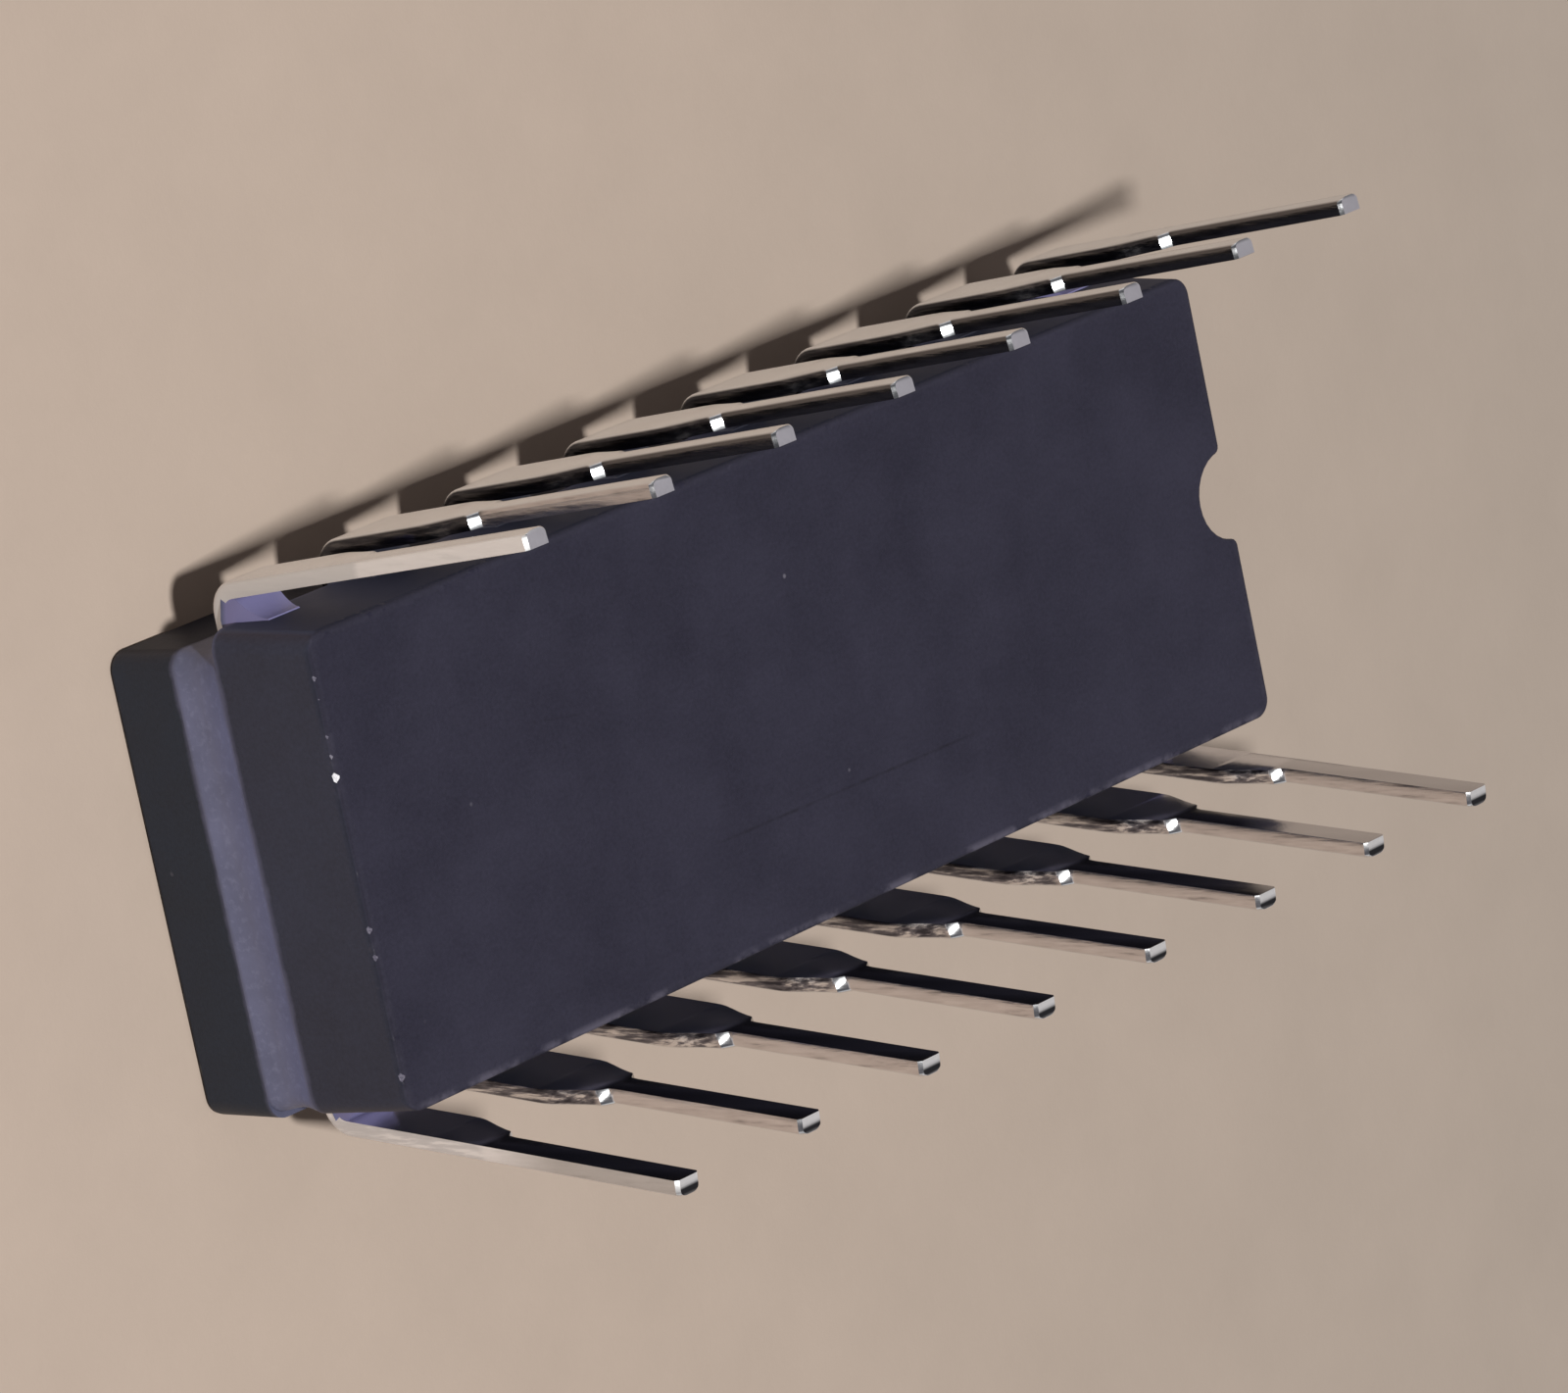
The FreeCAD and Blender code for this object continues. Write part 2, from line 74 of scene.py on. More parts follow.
# Base. The thicker half, dark alumina pressed from powder and fired, with drafted sides, an
# index notch in one end and the die cavity under it. The glass holds it to the lid.
base_low, base_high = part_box("ceramic_base")
body_length = base_high.x - base_low.x
body_width = base_high.y - base_low.y
seal_top = base_low.z
base_face = base_high.z
corner_radius = 0.30 * MM
base_draft = math.tan(math.radians(2.3))
notch_radius = 0.70 * MM
notch_depth = 0.66 * MM
notch_flare = 0.10 * MM
cavity_size = (6.60 * MM, 4.00 * MM)
cavity_corner = 0.30 * MM
cavity_depth = 0.60 * MM
base_edge_round = 0.04 * MM
body_sharp_angle = 35.0
flake_facing = Vector((-0.58, 0.15, 0.80)).normalized()
block_per_depth = 2.4
tolerance = 1e-7


def half_outline(mesh, length, width, height):
    """Flat outline of a pressed half with its round corners and index notch, as one face."""
    past_end = notch_radius - notch_depth
    half_mouth = math.sqrt(notch_radius ** 2 - past_end ** 2)
    start = mesh.verts.new((length / 2, -half_mouth, height))
    arc = bmesh.ops.spin(mesh, geom=[start], cent=(length / 2 + past_end, 0, height),
                         axis=(0, 0, 1), angle=-2 * math.acos(past_end / notch_radius),
                         steps=14, use_duplicate=False)
    last = arc["geom_last"][0]
    corners = [mesh.verts.new((x * length / 2, y * width / 2, height))
               for x, y in ((1, 1), (-1, 1), (-1, -1), (1, -1))]
    run = [last] + corners + [start]
    for first, second in zip(run, run[1:]):
        mesh.edges.new((first, second))
    bmesh.ops.contextual_create(mesh, geom=mesh.edges[:])
    bmesh.ops.bevel(mesh, geom=corners, offset=corner_radius, offset_type="OFFSET",
                    segments=8, profile=0.5, affect="VERTICES", material=-1)
    mouth = [v for v in mesh.verts if abs(abs(v.co.y) - half_mouth) < tolerance
             and v.co.x > length / 2 - tolerance]
    bmesh.ops.bevel(mesh, geom=mouth, offset=notch_flare, offset_type="OFFSET",
                    segments=3, profile=0.5, affect="VERTICES", material=-1)


def raised(mesh, faces, vector):
    """Extrudes faces by a vector and returns the new vertices."""
    made = bmesh.ops.extrude_face_region(mesh, geom=faces)["geom"]
    verts = [g for g in made if isinstance(g, bmesh.types.BMVert)]
    bmesh.ops.translate(mesh, verts=verts, vec=vector)
    return verts


def flat_faces(mesh, height):
    """Faces that lie wholly at one height."""
    return [f for f in mesh.faces if all(abs(v.co.z - height) < tolerance for v in f.verts)]


def sink_pocket(mesh, height, size, corner, depth):
    """Cuts a pocket with round upright corners into the face at one height."""
    for axis, reach in enumerate(size):
        for side in (-1, 1):
            plane = [0, 0, 0]
            plane[axis] = side
            faces = flat_faces(mesh, height)
            parts = faces + list({e for f in faces for e in f.edges}
                                 | {v for f in faces for v in f.verts})
            bmesh.ops.bisect_plane(mesh, geom=parts, dist=1e-8, plane_no=plane,
                                   plane_co=[p * reach / 2 for p in plane])
    middle = min(flat_faces(mesh, height), key=lambda f: f.calc_center_median().xy.length)
    mouth = middle.verts[:]
    bmesh.ops.bevel(mesh, geom=mouth, offset=corner, offset_type="OFFSET", segments=5,
                    profile=0.5, affect="VERTICES", material=-1)
    middle = min(flat_faces(mesh, height), key=lambda f: f.calc_center_median().xy.length)
    low = bmesh.ops.extrude_face_region(mesh, geom=[middle])["geom"]
    bmesh.ops.delete(mesh, geom=[middle], context="FACES_ONLY")
    bmesh.ops.translate(mesh, verts=[g for g in low if isinstance(g, bmesh.types.BMVert)],
                        vec=(0, 0, depth))


def pressed_half(width, seal, face, draft, edge_round, pocket, corner, depth):
    """One pressed half from the seal plane to its outer face, with a pocket at the seal."""
    mesh = bmesh.new()
    half_outline(mesh, body_length, width, seal)
    top = raised(mesh, mesh.faces[:], (0, 0, face - seal))
    lean = draft * abs(face - seal)
    bmesh.ops.scale(mesh, verts=top, vec=(1 - 2 * lean / body_length, 1 - 2 * lean / width, 1))
    rim = [e for f in flat_faces(mesh, face) for e in f.edges]
    bmesh.ops.bevel(mesh, geom=rim, offset=edge_round, offset_type="OFFSET", segments=4,
                    profile=0.5, affect="EDGES", clamp_overlap=True, material=-1)
    sink_pocket(mesh, seal, pocket, corner, depth)
    bmesh.ops.recalc_face_normals(mesh, faces=mesh.faces[:])
    return mesh


def shade_evenly(piece, sharp_angle):
    """Smooth shading up to a sharp angle, led by the large faces."""
    piece.data.shade_smooth()
    piece.data.set_sharp_from_angle(angle=math.radians(sharp_angle))
    weighted = piece.modifiers.new("even_shading", "WEIGHTED_NORMAL")
    weighted.keep_sharp = True


def finished(mesh, name, sharp_angle=body_sharp_angle):
    """Turns a bmesh into an object of the chip."""
    data = bpy.data.meshes.new(name)
    mesh.to_mesh(data)
    mesh.free()
    piece = bpy.data.objects.new(name, data)
    bpy.context.collection.objects.link(piece)
    shade_evenly(piece, sharp_angle)
    return piece


def flaked_edge(piece, edge_x, height, flakes, broken):
    """Breaks small flakes off the edge over the plain end, each with a block that stands
    cornerwise to the edge. A flake has its place across and its depth, in millimetres."""
    tilt = (Vector((0, 0, 1)).rotation_difference(flake_facing).to_matrix()
            @ Matrix.Rotation(math.radians(45), 3, "Z")).to_4x4()
    blocks = bmesh.new()
    for across, depth in flakes:
        side = block_per_depth * depth * MM
        middle = Vector((edge_x, across * MM, height)) + flake_facing * (side / 2 - depth * MM)
        bmesh.ops.create_cube(blocks, size=side, matrix=Matrix.Translation(middle) @ tilt)
    cutter = bpy.data.objects.new("flake_blocks", bpy.data.meshes.new("flake_blocks"))
    blocks.to_mesh(cutter.data)
    blocks.free()
    cutter.data.materials.append(broken)
    bpy.context.collection.objects.link(cutter)
    piece.modifiers.clear()
    cut = piece.modifiers.new("flakes", "BOOLEAN")
    cut.object = cutter
    cut.solver = "EXACT"
    cut.material_mode = "TRANSFER"
    graph = bpy.context.evaluated_depsgraph_get()
    piece.data = bpy.data.meshes.new_from_object(piece.evaluated_get(graph))
    piece.modifiers.clear()
    bpy.data.objects.remove(cutter)
    shade_evenly(piece, body_sharp_angle)


def new_material(name):
    """Material with its node tree, and the shader that ends it."""
    material = bpy.data.materials.new(name)
    material.use_nodes = True
    return material, material.node_tree, material.node_tree.nodes["Principled BSDF"]


def node(tree, kind, **settings):
    """New node with its settings; a key that names an input sets that input."""
    made = tree.nodes.new(kind)
    for key, value in settings.items():
        if hasattr(made, key):
            setattr(made, key, value)
        else:
            made.inputs[key.replace("_", " ")].default_value = value
    return made


def object_millimetres(tree, shift=(0, 0, 0), stretch=(1, 1, 1)):
    """Place on the piece in millimetres, stretched and shifted."""
    place = node(tree, "ShaderNodeTexCoord")
    mapping = node(tree, "ShaderNodeMapping", vector_type="POINT")
    mapping.inputs["Location"].default_value = shift
    mapping.inputs["Scale"].default_value = [s / MM for s in stretch]
    tree.links.new(place.outputs["Object"], mapping.inputs["Vector"])
    return mapping.outputs["Vector"]


def noise_field(tree, place, scale, detail=3.0, rough=0.55):
    """Soft noise over a place, as a single value."""
    field = node(tree, "ShaderNodeTexNoise", Scale=scale, Detail=detail, Roughness=rough)
    tree.links.new(place, field.inputs["Vector"])
    return field.outputs["Fac"]


def ramp(tree, value, *stops):
    """Colour ramp through stops of (position, colour)."""
    made = node(tree, "ShaderNodeValToRGB")
    elements = made.color_ramp.elements
    while len(elements) < len(stops):
        elements.new(0.5)
    for element, (position, colour) in zip(elements, stops):
        element.position = position
        element.color = (*colour, 1) if len(colour) == 3 else colour
    tree.links.new(value, made.inputs["Fac"])
    return made.outputs["Color"]


def grey_ramp(tree, value, *stops):
    """Ramp of single values."""
    return ramp(tree, value, *[(position, (level,) * 3) for position, level in stops])


def mixed(tree, amount, first, second, blend="MIX"):
    """Blend of two colours by an amount, each a colour or another node's output."""
    mix = node(tree, "ShaderNodeMix", data_type="RGBA", blend_type=blend)
    for socket, value in ((mix.inputs[0], amount), (mix.inputs[6], first),
                          (mix.inputs[7], second)):
        if isinstance(value, bpy.types.NodeSocket):
            tree.links.new(value, socket)
        elif isinstance(value, (int, float)):
            socket.default_value = value
        else:
            socket.default_value = (*value, 1)
    return mix.outputs[2]


def worked(tree, operation, *values):
    """One step of arithmetic on numbers or outputs."""
    step = node(tree, "ShaderNodeMath", operation=operation)
    for socket, value in zip(step.inputs, values):
        if isinstance(value, bpy.types.NodeSocket):
            tree.links.new(value, socket)
        else:
            socket.default_value = value
    return step.outputs[0]


def axis_value(tree, place, axis):
    """One coordinate of a place."""
    parts = node(tree, "ShaderNodeSeparateXYZ")
    tree.links.new(place, parts.inputs[0])
    return parts.outputs[axis]


def between(tree, value, low, high):
    """Where a value stands between two limits, as 0 to 1 for a ramp."""
    return worked(tree, "DIVIDE", worked(tree, "SUBTRACT", value, low), high - low)


def bumped(tree, shader, height, distance, strength=1.0):
    """Bump from a height, where distance is the height of the relief in metres."""
    bump = node(tree, "ShaderNodeBump", Strength=strength, Distance=distance)
    tree.links.new(height, bump.inputs["Height"])
    tree.links.new(bump.outputs["Normal"], shader.inputs["Normal"])


def dust(tree, place, scale, size, patches):
    """Specks of dust as a mask. Size is a speck's core and rim, patches the noise that leaves
    parts of the piece clean."""
    cells = node(tree, "ShaderNodeTexVoronoi", feature="F1", Scale=scale, Randomness=1.0)
    tree.links.new(place, cells.inputs["Vector"])
    patch_scale, clean, dusty = patches
    return worked(tree, "MULTIPLY",
                  grey_ramp(tree, cells.outputs["Distance"], (size[0], 1.0), (size[1], 0.0)),
                  grey_ramp(tree, noise_field(tree, place, patch_scale), (clean, 0.0),
                            (dusty, 1.0)))


def scratch(tree, start, end, width, strength):
    """Fine line from start to end on the base's face, broken by noise, as a mask."""
    start, end = Vector(start), Vector(end)
    turn = math.atan2(end.y - start.y, end.x - start.x)
    middle = (start + end) / 2
    place = node(tree, "ShaderNodeTexCoord").outputs["Object"]
    centred = node(tree, "ShaderNodeVectorMath", operation="SUBTRACT")
    centred.inputs[1].default_value = (middle.x * MM, middle.y * MM, 0)
    tree.links.new(place, centred.inputs[0])
    mapping = node(tree, "ShaderNodeMapping")
    mapping.inputs["Rotation"].default_value = (0, 0, -turn)
    mapping.inputs["Scale"].default_value = (1 / MM,) * 3
    tree.links.new(centred.outputs[0], mapping.inputs["Vector"])
    place = mapping.outputs["Vector"]
    along = worked(tree, "ABSOLUTE", axis_value(tree, place, "X"))
    across = worked(tree, "ABSOLUTE", axis_value(tree, place, "Y"))
    wander = worked(tree, "MULTIPLY", noise_field(tree, place, 1.5), width * 2)
    across = worked(tree, "SUBTRACT", across, worked(tree, "SUBTRACT", wander, width))
    line = grey_ramp(tree, worked(tree, "DIVIDE", across, width * 3), (0.0, 1.0), (1.0, 0.0))
    ends = grey_ramp(tree, worked(tree, "DIVIDE", along, (end - start).length / 2),
                     (0.7, 1.0), (1.0, 0.0))
    breaks = grey_ramp(tree, noise_field(tree, place, 4.0, 4.0), (0.35, 0.25), (0.60, 1.0))
    return worked(tree, "MULTIPLY", worked(tree, "MULTIPLY", line, ends),
                  worked(tree, "MULTIPLY", breaks, strength))


def fired_ceramic(name, dark, light, side_painted_light, edge_height, seal, outline, across=0.0,
                  marks=()):
    """Dark alumina: fine grain, cloudy tone, long sides painted paler as painted light, end faces
    painted cooler against a warm reflection, edges rubbed round one outer face, glass crept over
    the edge at the seal, dust."""
    crept_glass = (0.100, 0.104, 0.172)
    soiled_edge = (0.012, 0.011, 0.020)
    rubbed_edge = (0.15, 0.14, 0.19)
    scratch_floor = (0.010, 0.009, 0.016)
    dust_tone = (0.24, 0.23, 0.28)

    material, tree, shader = new_material(name)
    place = object_millimetres(tree, shift=(0, -across / MM, 0))
    x, y, z = [axis_value(tree, place, axis) for axis in "XYZ"]
    facing = node(tree, "ShaderNodeTexCoord").outputs["Normal"]
    long_side = grey_ramp(tree, worked(tree, "ABSOLUTE", axis_value(tree, facing, "Y")),
                          (0.86, 0.0), (0.97, 1.0))
    end_side = grey_ramp(tree, worked(tree, "ABSOLUTE", axis_value(tree, facing, "X")),
                         (0.5, 0.0), (0.9, 1.0))
    cloud = noise_field(tree, place, 0.55, 4.0, 0.6)
    grain = noise_field(tree, place, 16.0, 3.0, 0.7)
    tone = ramp(tree, worked(tree, "ADD", worked(tree, "MULTIPLY", cloud, 0.5),
                             worked(tree, "MULTIPLY", grain, 0.5)), (0.36, dark), (0.64, light))
    # Painted light: the long sides are painted paler, standing in for the light they catch from
    # the surround.
    tone = mixed(tree, worked(tree, "MULTIPLY", long_side, 0.6), tone, side_painted_light)
    # Painted correction of light: the end faces are tinted greener and bluer against the warm
    # reflection of the lit paper.
    tone = mixed(tree, end_side, tone, (1.0, 1.22, 1.20), "MULTIPLY")

    from_seal = worked(tree, "ADD",
                       worked(tree, "ABSOLUTE", worked(tree, "SUBTRACT", z, seal / MM)),
                       worked(tree, "MULTIPLY", noise_field(tree, place, 2.2, 4.0, 0.6), 0.14))
    tone = mixed(tree, grey_ramp(tree, from_seal, (0.06, 0.75), (0.15, 0.0)), tone, crept_glass)

    near_x = worked(tree, "SUBTRACT", outline[0] / MM, worked(tree, "ABSOLUTE", x))
    near_y = worked(tree, "SUBTRACT", outline[1] / MM, worked(tree, "ABSOLUTE", y))
    inward = worked(tree, "ABSOLUTE", worked(tree, "MINIMUM", near_x, near_y))
    below = worked(tree, "ABSOLUTE", worked(tree, "SUBTRACT", z, edge_height / MM))
    rim = worked(tree, "ADD", inward, below)
    tone = mixed(tree, grey_ramp(tree, rim, (0.03, 0.4), (0.06, 0.0)), tone, soiled_edge)
    at_rim = grey_ramp(tree, rim, (0.05, 1.0), (0.14, 0.0))
    off_the_ends = grey_ramp(tree, between(tree, near_x, 0.0, 4.0), (0.03, 0.2), (0.12, 1.0))
    rub_noise = worked(tree, "ADD", noise_field(tree, place, 1.1, 5.0, 0.65),
                       worked(tree, "MULTIPLY", y, -0.022))
    rub = worked(tree, "MULTIPLY", worked(tree, "MULTIPLY", at_rim, off_the_ends),
                 grey_ramp(tree, rub_noise, (0.54, 0.0), (0.66, 1.0)))
    tone = mixed(tree, worked(tree, "MULTIPLY", rub, 0.45), tone, rubbed_edge)

    lines = None
    for mark in marks:
        line = scratch(tree, *mark)
        lines = line if lines is None else worked(tree, "MAXIMUM", lines, line)
    if lines is not None:
        tone = mixed(tree, lines, tone, scratch_floor)
    tone = mixed(tree, worked(tree, "MULTIPLY", dust(tree, place, 0.95, (0.018, 0.040),
                                                     (0.8, 0.50, 0.58)), 0.45), tone, dust_tone)
    tree.links.new(tone, shader.inputs["Base Color"])

    rim_rough = grey_ramp(tree, noise_field(tree, place, 4.5, 4.0), (0.58, 0.92), (0.66, 0.36))
    tree.links.new(mixed(tree, at_rim, grey_ramp(tree, cloud, (0.30, 0.50), (0.70, 0.62)),
                         rim_rough), shader.inputs["Roughness"])
    shader.inputs["IOR"].default_value = 1.55
    tree.links.new(grey_ramp(tree, long_side, (0.0, 0.32), (1.0, 0.08)),
                   shader.inputs["Specular IOR Level"])
    relief = worked(tree, "ADD", worked(tree, "MULTIPLY", grain, 0.6),
                    worked(tree, "MULTIPLY", noise_field(tree, place, 40.0, 2.0), 0.4))
    if lines is not None:
        relief = worked(tree, "SUBTRACT", relief, worked(tree, "MULTIPLY", lines, 0.8))
    bumped(tree, shader, relief, 0.012 * MM, 0.55)
    return material


face_lean = base_draft * (base_face - seal_top)
base_dark, base_light = (0.0187, 0.0176, 0.0325), (0.0298, 0.0283, 0.0508)
# Painted light: the paler colour of the long sides stands in for the light they catch from the
# surround.
base_side_painted_light = (0.078, 0.088, 0.140)
# Each scratch has its two ends, its width and its strength
scratches = [((-2.9, -1.70), (3.4, -1.80), 0.012, 0.75),
             ((-6.0, 1.10), (-4.6, 0.85), 0.010, 0.40),
             ((1.2, 2.30), (2.1, 2.75), 0.010, 0.35)]
base = finished(pressed_half(body_width, seal_top, base_face, base_draft, base_edge_round,
                             cavity_size, cavity_corner, cavity_depth), "ceramic_base_body")
base.data.materials.append(fired_ceramic(
    "fired_base", base_dark, base_light, base_side_painted_light, base_face, seal_top,
    (body_length / 2 - face_lean, body_width / 2 - face_lean), marks=scratches))

# One flake's facet faces the lamp and is glossier than the rest
bright_flake = 1.44
flakes = [(2.86, 0.025), (2.55, 0.016), (2.31, 0.014), (2.02, 0.020), (1.74, 0.022),
          (bright_flake, 0.045), (-0.76, 0.035), (-1.16, 0.03), (-2.90, 0.04)]
fresh_break, tree, shader = new_material("fresh_ceramic_break")
place = object_millimetres(tree)
crystals = noise_field(tree, place, 30.0, 3.0)
tree.links.new(ramp(tree, crystals, (0.35, (0.09, 0.085, 0.12)), (0.65, (0.19, 0.18, 0.23))),
               shader.inputs["Base Color"])
from_bright = worked(tree, "ABSOLUTE", worked(tree, "SUBTRACT", axis_value(tree, place, "Y"),
                                              bright_flake))
tree.links.new(grey_ramp(tree, from_bright, (0.2, 0.32), (0.4, 0.85)), shader.inputs["Roughness"])
tree.links.new(grey_ramp(tree, from_bright, (0.2, 0.5), (0.4, 0.1)),
               shader.inputs["Specular IOR Level"])
bumped(tree, shader, crystals, 0.004 * MM, 0.4)
flaked_edge(base, face_lean - body_length / 2, base_face, flakes, fresh_break)
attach(base, "root")
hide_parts("ceramic_base")


# Lid. The thinner pressed half, under the seal, a little narrower than the base. It slid
# towards one row of pins while the glass was soft. The chip lies on its outer face.
lid_low, lid_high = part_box("ceramic_lid")
lid_shift = (lid_low.y + lid_high.y) / 2
lid_width = lid_high.y - lid_low.y
lid_seal = lid_high.z
lid_draft = math.tan(math.radians(0.5))
recess_size = (8.16 * MM, 5.56 * MM)
recess_depth = 0.50 * MM
lid_edge_round = 0.17 * MM
lid_lean = lid_draft * lid_seal
lid_dark, lid_light = (0.0088, 0.0110, 0.0205), (0.0150, 0.0185, 0.0330)
# Painted light: the paler colour of the long sides stands in for the light they catch from the
# surround.
lid_side_painted_light = (0.030, 0.029, 0.036)

lid_mesh = pressed_half(lid_width, lid_seal, lid_low.z, lid_draft, lid_edge_round, recess_size,
                        cavity_corner, -recess_depth)
bmesh.ops.translate(lid_mesh, verts=lid_mesh.verts[:], vec=(0, lid_shift, 0))
lid = finished(lid_mesh, "ceramic_lid_body")
lid.data.materials.append(fired_ceramic(
    "fired_lid", lid_dark, lid_light, lid_side_painted_light, lid_low.z, lid_seal,
    (body_length / 2 - lid_lean, lid_width / 2 - lid_lean), lid_shift))
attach(lid, "root")
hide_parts("ceramic_lid")


# Pins. Sixteen strips of one stamped iron nickel frame, bright plated. Each runs from a finger
# at the cavity through the glass, bends up outside it, narrows at the shoulder and ends cut off.
pitch = 2.54 * MM
pins_per_row = 8
lead_thickness = 0.25 * MM
lead_height = 1.87 * MM
frame_shift = 0.05 * MM
lead_wide = 1.30 * MM
lead_narrow = 0.46 * MM
root_in_glass = 0.55 * MM
root_lap = 0.02 * MM
bend_start = body_width / 2 + 0.03 * MM
bend_radius = 0.25 * MM + lead_thickness / 2
bend_steps = 8
leg_splay = math.radians(6.0)
leg_rings = (1.6 * MM, 2.9 * MM)
# How far a leg may lean along its row and in towards the body, for its height
lean_along, lean_across = 0.006, 0.005
tip_chamfer = 0.05 * MM
rolled_edge = 0.085 * MM
stamped_edge = 0.025 * MM
pin_sharp_angle = 30.0
finger_width = 0.50 * MM
finger_tip_width = 0.30 * MM
finger_setback = 0.12 * MM
finger_inset = 0.28 * MM
finger_fan = 0.27 * MM
finger_knee = 0.43 * MM
end_finger_row = 0.96 * MM
end_finger_run = 0.78 * MM
end_finger_turn = Vector((0.90, 1.29)) * MM
shoulder_drop_far = 0.14 * MM
# Height over the base's face and the part of the shoulder's extra width that is left there
shoulder = [(-0.22, 1.0), (-0.10, 0.985), (0.02, 0.93), (0.20, 0.78), (0.40, 0.60),
            (0.60, 0.45), (0.70, 0.40), (0.755, 0.375), (0.86, 0.035), (0.90, 0.015),
            (0.96, 0.0)]
# The shoulder's cut is a little askew through the strip, the more so in the -Y row
shoulder_cut = (0.745, 0.87)
skew_near = -0.29
skew_far = 0.08


def row_place(slot):
    """Distance of a pin from the middle of the body along its row; slot 0 is at the plain end."""
    return (slot - (pins_per_row - 1) / 2) * pitch


def pin_edges(slot):
    """Distances from a pin's centre to the two edges of its wide part."""
    return [(lead_narrow if slot == end else lead_wide) / 2 for end in (0, pins_per_row - 1)]


def strip_section(centre, along, width, thickness_way, skew=0.0):
    """Placing of a unit square as a cross section of the strip, cut askew along it."""
    along = along.normalized()
    beside = thickness_way.cross(along).normalized()
    thickness_way = thickness_way + along * skew
    return Matrix((
        (beside.x * width, thickness_way.x * lead_thickness, along.x, centre.x),
        (beside.y * width, thickness_way.y * lead_thickness, along.y, centre.y),
        (beside.z * width, thickness_way.z * lead_thickness, along.z, centre.z),
        (0, 0, 0, 1)))


def finger_sections(x):
    """Cross sections from the finger's tip at the cavity to the root in the glass."""
    side = 1 if x > 0 else -1
    rank = round(abs(x) / pitch - 0.5)
    half = pins_per_row // 2
    cavity_x, cavity_y = cavity_size[0] / 2, cavity_size[1] / 2
    root = Vector((x, body_width / 2 - root_in_glass, lead_height))
    if rank == half - 1:
        points = [Vector((side * (cavity_x + finger_setback), end_finger_row, lead_height)),
                  Vector((side * (cavity_x + end_finger_run), end_finger_row, lead_height)),
                  Vector((x - side * end_finger_turn.x, root.y - end_finger_turn.y,
                          lead_height)), root]
    else:
        tip_x = side * (cavity_x - finger_inset) / (half - 1.5) * (rank + 0.5)
        points = [Vector((tip_x, cavity_y + finger_setback, lead_height)),
                  Vector((tip_x + side * finger_fan * rank, cavity_y + finger_knee, lead_height)),
                  root]
    sections = []
    for i, point in enumerate(points):
        ahead = points[min(i + 1, len(points) - 1)] - point
        behind = point - points[max(i - 1, 0)]
        along = ahead.normalized() + behind.normalized()
        width = finger_tip_width + (finger_width - finger_tip_width) * i / (len(points) - 1)
        sections.append(strip_section(point, along, width, Vector((0, 0, 1))))
    return sections


def leg_sections(low, high, reach, lean, drop, skew):
    """Cross sections from the root's start in the glass round the bend and up to the tip."""
    inner = body_width / 2 - root_in_glass
    wide = low + high
    middle = (high - low) / 2
    up = Vector((0, 0, 1))
    out = Vector((0, 1, 0))
    sections = [strip_section(Vector((middle, inner + root_lap, lead_height)), out, wide, up),
                strip_section(Vector((middle, bend_start, lead_height)), out, wide, up)]
    turn = math.radians(90) - leg_splay
    for step in range(1, bend_steps + 1):
        angle = turn * step / bend_steps
        centre = Vector((middle, bend_start + bend_radius * math.sin(angle),
                         lead_height + bend_radius * (1 - math.cos(angle))))
        sections.append(strip_section(
            centre, Vector((0, math.cos(angle), math.sin(angle))), wide,
            Vector((0, -math.sin(angle), math.cos(angle)))))
    start = Vector((0, bend_start + bend_radius * math.sin(turn),
                    lead_height + bend_radius * (1 - math.cos(turn))))
    leg_way = Vector((0, math.sin(leg_splay), math.cos(leg_splay)))
    plain = lead_narrow / 2
    heights = [(h * MM - drop, share, skew if shoulder_cut[0] < h < shoulder_cut[1] else 0)
               for h, share in shoulder]
    heights += [(ring, 0, 0) for ring in leg_rings]
    heights += [(reach - tip_chamfer, 0, 0), (reach, -1, 0)]
    for height, share, askew in heights:
        run = (base_face + height - start.z) / leg_way.z
        left = plain + (low - plain) * max(share, 0) + min(share, 0) * tip_chamfer
        right = plain + (high - plain) * max(share, 0) + min(share, 0) * tip_chamfer
        centre = start + leg_way * run + Vector(((right - left) / 2, 0, 0))
        centre += lean * (max(height, 0) / MM)
        sections.append(strip_section(centre, leg_way, left + right,
                                      Vector((0, -leg_way.z, leg_way.y)), askew))
    return sections


